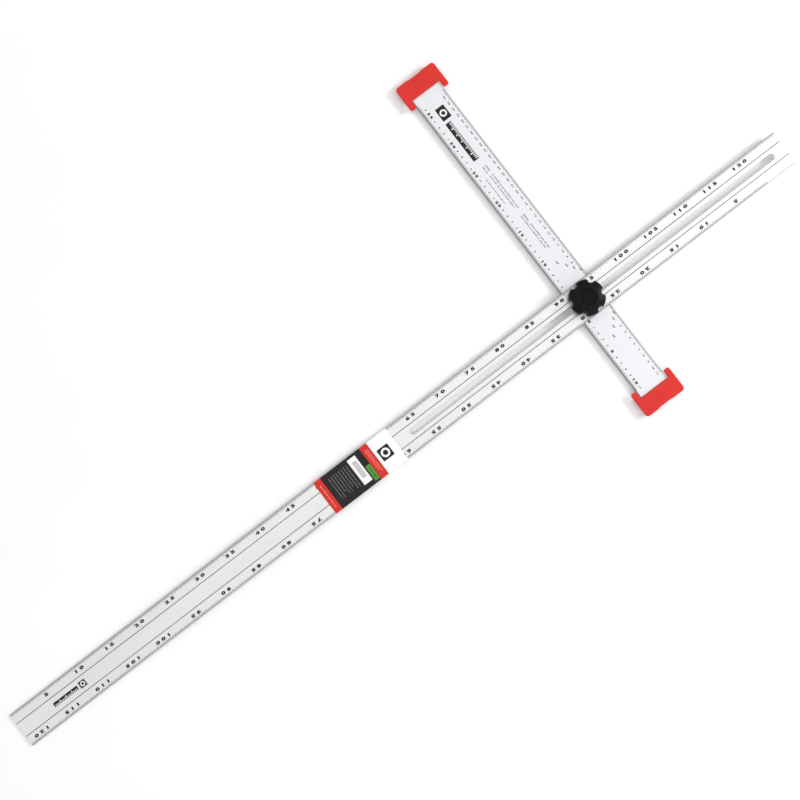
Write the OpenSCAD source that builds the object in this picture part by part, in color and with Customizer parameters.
// Adjustable T-square: a long slotted blade lies across a shorter channel-section head.
// One bolt and a star knob clamp the two together, anywhere along the slot and at any angle
// up to the stops that the head's end caps make.
// X runs along the blade to its slotted end, Y along the head's long arm, Z up to the knob.
// The origin is on the pivot axis, level with the head's underside.

/* [Blade] */
// Length of the blade
blade_len = 1275; // [1270:5:1400]
// Width of the blade
blade_w = 50; // [46:1:56]
// Thickness of the blade
blade_t = 3; // [2.6:0.1:4]
// Distance from the blade's zero end to the pivot
zero_to_pivot = 939.5; // [690:0.5:1210]
// Width of the sunk strip along the middle of the blade
strip_w = 19.8; // [19.4:0.2:24]
// How far the middle strip lies below the two scales
strip_depth = 0.3; // [0.2:0.1:0.6]
// Width of the V-groove on each side of the strip
groove_w = 0.9; // [0.5:0.1:1.4]
// Depth of the V-groove
groove_depth = 0.7; // [0.65:0.05:1]
// Width and height of the chamfer along the blade's two reading edges
edge_chamfer = 0.7; // [0.3:0.1:1.2]

/* [Slot] */
// Distance from the blade's zero end to the near end of the slot
slot_from = 645; // [560:5:660]
// Distance from the blade's zero end to the far end of the slot
slot_to = 1257; // [1240:1:1260]
// Width of the slot
slot_w = 9.5; // [9:0.1:11]

/* [Head] */
// Width of the head rule
head_w = 44; // [42:0.5:48]
// Height of the head rule's channel section
head_h = 7.5; // [6.5:0.1:12]
// Thickness of the head's top web
web_t = 2.5; // [2:0.1:3]
// Thickness of the two side flanges
flange_t = 2.4; // [2:0.1:3]
// Reach of the long arm from the pivot, with its cap
long_reach = 378; // [300:1:450]
// Reach of the short arm from the pivot, with its cap
short_reach = 175; // [150:1:250]
// Chamfer along the head's top edges
head_chamfer = 0.8; // [0.3:0.1:1.2]

/* [End caps] */
// Width across a cap
cap_w = 63.5; // [62:0.5:68]
// Depth of a cap's bridge along the rule
cap_depth = 26; // [20:1:30]
// Length of a cap's two legs along the rule
cap_leg_len = 37; // [32:1:42]
// Width of each leg
cap_leg_w = 8.6; // [7:0.1:8.6]
// Corner radius of a cap
cap_corner_r = 4.5; // [3:0.5:6]
// Thickness of the wall that closes the rule's end
cap_wall = 3; // [2:0.5:4]
// Length of the two tongues inside the rule
tongue_len = 22; // [12:1:30]
// Depth of the thumb recess in a cap's outer edge
thumb_depth = 0.8; // [0.4:0.1:1.5]
// Length of the thumb recess
thumb_len = 20; // [14:1:30]

/* [Clamp] */
// Diameter of the bolt
bolt_d = 6; // [5:1:6]
// Width across the flats of the bolt's head
bolt_af = 10; // [9:0.5:10]
// Thickness of the slider's pad between head and blade
pad_t = 1; // [0.8:0.1:1.5]
// Radius of the slider's pad
pad_r = 20; // [16:0.5:20]
// Thickness of the washer under the knob
washer_t = 1.6; // [1:0.1:2]
// Radius of the washer
washer_r = 9.5; // [8:0.1:9.6]

/* [Knob] */
// Radius of the knob over its lobes
knob_r = 24.8; // [22:0.1:27]
// Height of the knob
knob_h = 21; // [19:0.5:24]
// Number of lobes
lobes = 6; // [5:1:8]
// Radius of the cut between two lobes
notch_r = 5.5; // [5:0.1:6]
// Depth of the cut between two lobes
notch_depth = 4.2; // [3:0.1:5]
// Direction of the first lobe, in degrees from the blade
lobe_angle = 12.65; // [0:0.05:60]
// Radius of the hub under the lobes
hub_r = 10.5; // [9:0.1:11]
// Height of the hub under the lobes
hub_h = 6; // [4:0.5:7]
// Radius of the round cap in the knob's top
knob_cap_r = 10.4; // [8:0.1:10.5]
// Thickness of the round cap
knob_cap_t = 1.5; // [1:0.1:2]
// Outer radius of the threaded insert
insert_r = 5; // [4.5:0.1:6]
// Length of the threaded insert
insert_len = 15; // [10:0.5:16]

/* [Label sleeve] */
// Distance from the blade's zero end to the sleeve
sleeve_from = 502; // [450:1:510]
// Length of the sleeve along the blade
sleeve_len = 120; // [80:1:122]
// Thickness of the card
card_t = 0.4; // [0.3:0.05:0.45]

/* [Hidden] */

$fn = 64;
lap = 1;                // overshoot of a cutter past the face that it cuts
running = 0.05;         // radial clearance of a turning or sliding fit
card_gap = 0.05;        // air between the card and the blade

blade_z = head_h + pad_t;
blade_top = blade_z + blade_t;
strip_z = blade_top - strip_depth;
zero_x = -zero_to_pivot;
washer_z = strip_z;
knob_z = washer_z + washer_t;
bolt_r = bolt_d / 2;
boss_r = slot_w / 2 - 0.1;
boss_drop = 0.2;        // the boss stops short of the strip, so that the knob clamps the blade

channel_h = head_h - web_t;
rule_len = long_reach + short_reach - 2 * cap_wall;
rib_t = 1.6;
rib_h = 3.5;
rib_gap = 0.05;         // play between the bolt's head and each rib

tongue_fit = 0.2;       // play between a tongue and the flange beside it
tongue_t = channel_h - 0.7;
leg_end_r = 2;
seat_z = blade_z;       // the legs rest on the board, level with the blade's underside

rim_w = 2;              // width of the flat rim round the knob's cap
cap_sink = 0.5;         // the cap lies this far below the rim
shell_t = 2;            // wall of the hollow under the lobes
shell_h = 8;            // height of that hollow

// Cross-section of the blade, as half of its outline from the underside up
blade_half = [
    [blade_w / 2, 0],
    [blade_w / 2, blade_t - edge_chamfer],
    [blade_w / 2 - edge_chamfer, blade_t],
    [strip_w / 2 + groove_w, blade_t],
    [strip_w / 2 + groove_w / 2, blade_t - groove_depth],
    [strip_w / 2, blade_t - strip_depth]
];

// A half outline closed with its mirror image
function mirrored(half) =
    concat(half, [for (i = [len(half) - 1 : -1 : 0]) [-half[i][0], half[i][1]]]);

// A box between two corners
module box(low, high) {
    translate(low) cube(high - low);
}

// A slab with four rounded corners, from z = 0 up
module rounded_slab(size_x, size_y, size_z, r) {
    for (sx = [-1, 1], sy = [-1, 1])
        translate([sx * (size_x / 2 - r), sy * (size_y / 2 - r), 0]) cylinder(r = r, h = size_z);
    box([-size_x / 2 + r, -size_y / 2, 0], [size_x / 2 - r, size_y / 2, size_z]);
    box([-size_x / 2, -size_y / 2 + r, 0], [size_x / 2, size_y / 2 - r, size_z]);
}

// A straight slot with round ends along X, between two end points
module slot_cutter(from_x, to_x, width, height) {
    box([from_x + width / 2, -width / 2, 0], [to_x - width / 2, width / 2, height]);
    for (x = [from_x + width / 2, to_x - width / 2])
        translate([x, 0, 0]) cylinder(d = width, h = height);
}

// Extruded aluminium rule with the slot for the clamp bolt
module blade() {
    color("gainsboro")
    difference() {
        translate([zero_x, 0, blade_z]) rotate([90, 0, 90])
            linear_extrude(blade_len) polygon(mirrored(blade_half));
        translate([zero_x, 0, blade_z - lap])
            slot_cutter(slot_from, slot_to, slot_w, blade_t + 2 * lap);
    }
}

// Cross-section of the head: a channel open downwards, with two ribs that hold the bolt's head
module head_section() {
    rib_x = bolt_af / 2 + rib_gap;
    difference() {
        polygon(mirrored([
            [head_w / 2, 0],
            [head_w / 2, head_h - head_chamfer],
            [head_w / 2 - head_chamfer, head_h]
        ]));
        translate([-head_w / 2 + flange_t, -lap]) square([head_w - 2 * flange_t, channel_h + lap]);
    }
    for (side = [-1, 1])
        translate([side * (rib_x + rib_t / 2) - rib_t / 2, channel_h - rib_h])
            square([rib_t, rib_h]);
}

// Extruded aluminium head rule
module head_rule() {
    color("whitesmoke")
    difference() {
        translate([0, long_reach - cap_wall, 0]) rotate([90, 0, 0])
            linear_extrude(rule_len) head_section();
        translate([0, 0, -lap]) cylinder(r = bolt_r + running, h = head_h + 2 * lap);
    }
}

// Moulded cap with its outer edge on y = 0 and the rule along +Y
module end_cap() {
    leg_x = cap_w / 2 - cap_leg_w / 2;
    slab_t = blade_top - head_h;
    color("crimson")
    difference() {
        union() {
            translate([0, cap_depth / 2, head_h])
                rounded_slab(cap_w, cap_depth, slab_t, cap_corner_r);
            box([-cap_w / 2, cap_depth - cap_corner_r - lap, head_h], [cap_w / 2, cap_depth, blade_top]);
            for (side = [-1, 1]) {
                translate([side * leg_x, cap_leg_len - cap_leg_len / 2, head_h])
                    rounded_slab(cap_leg_w, cap_leg_len, slab_t, leg_end_r);
            }
            box([-head_w / 2, 0, 0], [head_w / 2, cap_wall, head_h + lap]);
            for (side = [-1, 1]) tongue(side);
        }
        for (side = [-1, 1]) {
            far_x = side * (cap_w / 2 + lap);
            near_x = side * head_w / 2;
            box([min(far_x, near_x), -lap, head_h - lap],
                [max(far_x, near_x), cap_leg_len + lap, seat_z]);
            corner_trim(side);
        }
        box([-thumb_len / 2, -lap, -lap], [thumb_len / 2, thumb_depth, blade_top + lap]);
    }
}

// Rounds a cap's outer corner where the leg would square it off
module corner_trim(side) {
    centre_x = side * (cap_w / 2 - cap_corner_r);
    edge_x = side * (cap_w / 2 + lap);
    difference() {
        box([min(centre_x, edge_x), -lap, head_h - lap],
            [max(centre_x, edge_x), cap_corner_r, blade_top + lap]);
        translate([centre_x, cap_corner_r, head_h - 2 * lap])
            cylinder(r = cap_corner_r, h = blade_top - head_h + 4 * lap);
    }
}

// One of the two tongues that hold a cap inside the rule's channel
module tongue(side) {
    outer_x = side * (head_w / 2 - flange_t - tongue_fit);
    inner_x = side * (bolt_af / 2 + rib_gap + rib_t + tongue_fit);
    box([min(inner_x, outer_x), cap_wall - lap, channel_h - tongue_t],
        [max(inner_x, outer_x), cap_wall + tongue_len, channel_h]);
}

// Cap on the long arm
module end_cap_long() {
    translate([0, long_reach, 0]) rotate([0, 0, 180]) end_cap();
}

// Cap on the short arm
module end_cap_short() {
    translate([0, -short_reach, 0]) end_cap();
}

// Hexagon bolt, its head held between the ribs and level with the underside
module clamp_bolt() {
    insert_top = knob_z + insert_len;
    color("silver") {
        rotate([0, 0, 30]) cylinder(d = bolt_af / cos(30), h = channel_h, $fn = 6);
        cylinder(r = bolt_r, h = insert_top - 1);
    }
}

// Nylon slider: a round boss that runs in the slot, on a thin pad that the head turns against
module slot_slider() {
    boss_h = pad_t + blade_t - strip_depth - boss_drop;
    color("dimgray")
    translate([0, 0, head_h])
    difference() {
        union() {
            cylinder(r = pad_r, h = pad_t);
            cylinder(r = boss_r, h = boss_h);
        }
        translate([0, 0, -lap]) cylinder(r = bolt_r + running, h = boss_h + 2 * lap);
    }
}

// Steel washer between the blade and the knob
module knob_washer() {
    color("lightsteelblue")
    translate([0, 0, washer_z])
    difference() {
        cylinder(r = washer_r, h = washer_t);
        translate([0, 0, -lap]) cylinder(r = bolt_r + running, h = washer_t + 2 * lap);
    }
}

// Outline of the knob from its hub, under the lobes and over the domed top, before the cuts
module knob_outline() {
    polygon([
        [0, 0],
        [hub_r, 0],
        [hub_r, hub_h],
        [knob_r - 0.6, hub_h],
        [knob_r, hub_h + 1.4],
        [knob_r - 0.5, knob_h * 0.66],
        [knob_r - 2.2, knob_h * 0.79],
        [knob_cap_r + rim_w, knob_h],
        [0, knob_h]
    ]);
}

// Moulded star knob with a hub, a domed top and a seat for its round cap
module knob_body() {
    cap_seat_z = knob_h - cap_sink - knob_cap_t;
    color("#1c1a17")
    translate([0, 0, knob_z])
    difference() {
        rotate_extrude() knob_outline();
        for (i = [0 : lobes - 1])
            rotate([0, 0, lobe_angle + (i + 0.5) * 360 / lobes])
                translate([knob_r - notch_depth + notch_r, 0, hub_h - lap])
                    cylinder(r = notch_r, h = knob_h);
        translate([0, 0, -lap]) cylinder(r = insert_r, h = knob_h);
        translate([0, 0, cap_seat_z]) cylinder(r = knob_cap_r + running, h = knob_h);
        translate([0, 0, hub_h - lap])
            difference() {
                cylinder(r = knob_r - notch_depth - shell_t, h = shell_h + lap);
                cylinder(r = hub_r, h = shell_h + lap);
            }
    }
}

// Brass bush moulded into the knob
module knob_insert() {
    color("goldenrod")
    translate([0, 0, knob_z])
    difference() {
        cylinder(r = insert_r, h = insert_len);
        translate([0, 0, -lap]) cylinder(r = bolt_r + running, h = insert_len + 2 * lap);
    }
}

// Round cap that closes the knob's top
module knob_cap() {
    color("#24221f")
    translate([0, 0, knob_z + knob_h - cap_sink - knob_cap_t])
        cylinder(r = knob_cap_r, h = knob_cap_t);
}

// Printed card wrapped round the blade
module label_sleeve() {
    inner_y = blade_w / 2 + card_gap;
    outer_y = inner_y + card_t;
    color("ivory")
    translate([zero_x + sleeve_from, 0, 0])
    difference() {
        box([0, -outer_y, blade_z - card_gap - card_t],
            [sleeve_len, outer_y, blade_top + card_gap + card_t]);
        box([-lap, -inner_y, blade_z - card_gap], [sleeve_len + lap, inner_y, blade_top + card_gap]);
    }
}

blade();
head_rule();
end_cap_long();
end_cap_short();
clamp_bolt();
slot_slider();
knob_washer();
knob_body();
knob_insert();
knob_cap();
label_sleeve();
